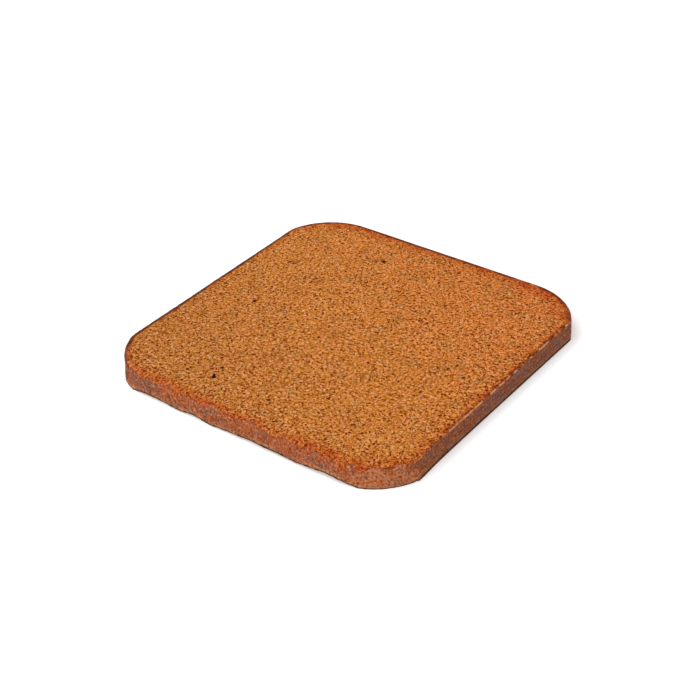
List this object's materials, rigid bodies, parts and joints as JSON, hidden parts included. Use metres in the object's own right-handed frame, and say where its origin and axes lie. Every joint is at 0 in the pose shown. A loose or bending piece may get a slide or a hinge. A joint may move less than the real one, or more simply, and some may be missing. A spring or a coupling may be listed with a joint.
{
  "type": "stoneware floor tile",
  "caption": "Square unglazed stoneware floor tile with round corners, rolled upper edges at its cut ends, a broken foot and keying grooves underneath, for bedding in mortar.",
  "frame": {"origin": "middle of the underside", "axes": "+Z out of the wear face, Y along the extrusion, so the cut ends face Y and the die's sides face X"},
  "size_m": [0.3, 0.3, 0.02],
  "materials": {
    "stoneware": "unglazed, matt and gritty, ochre face with dark and pale specks, flashed red-brown edges"
  },
  "bodies": {
    "root": {"floor_tile": "stoneware"}
  },
  "joints": []
}
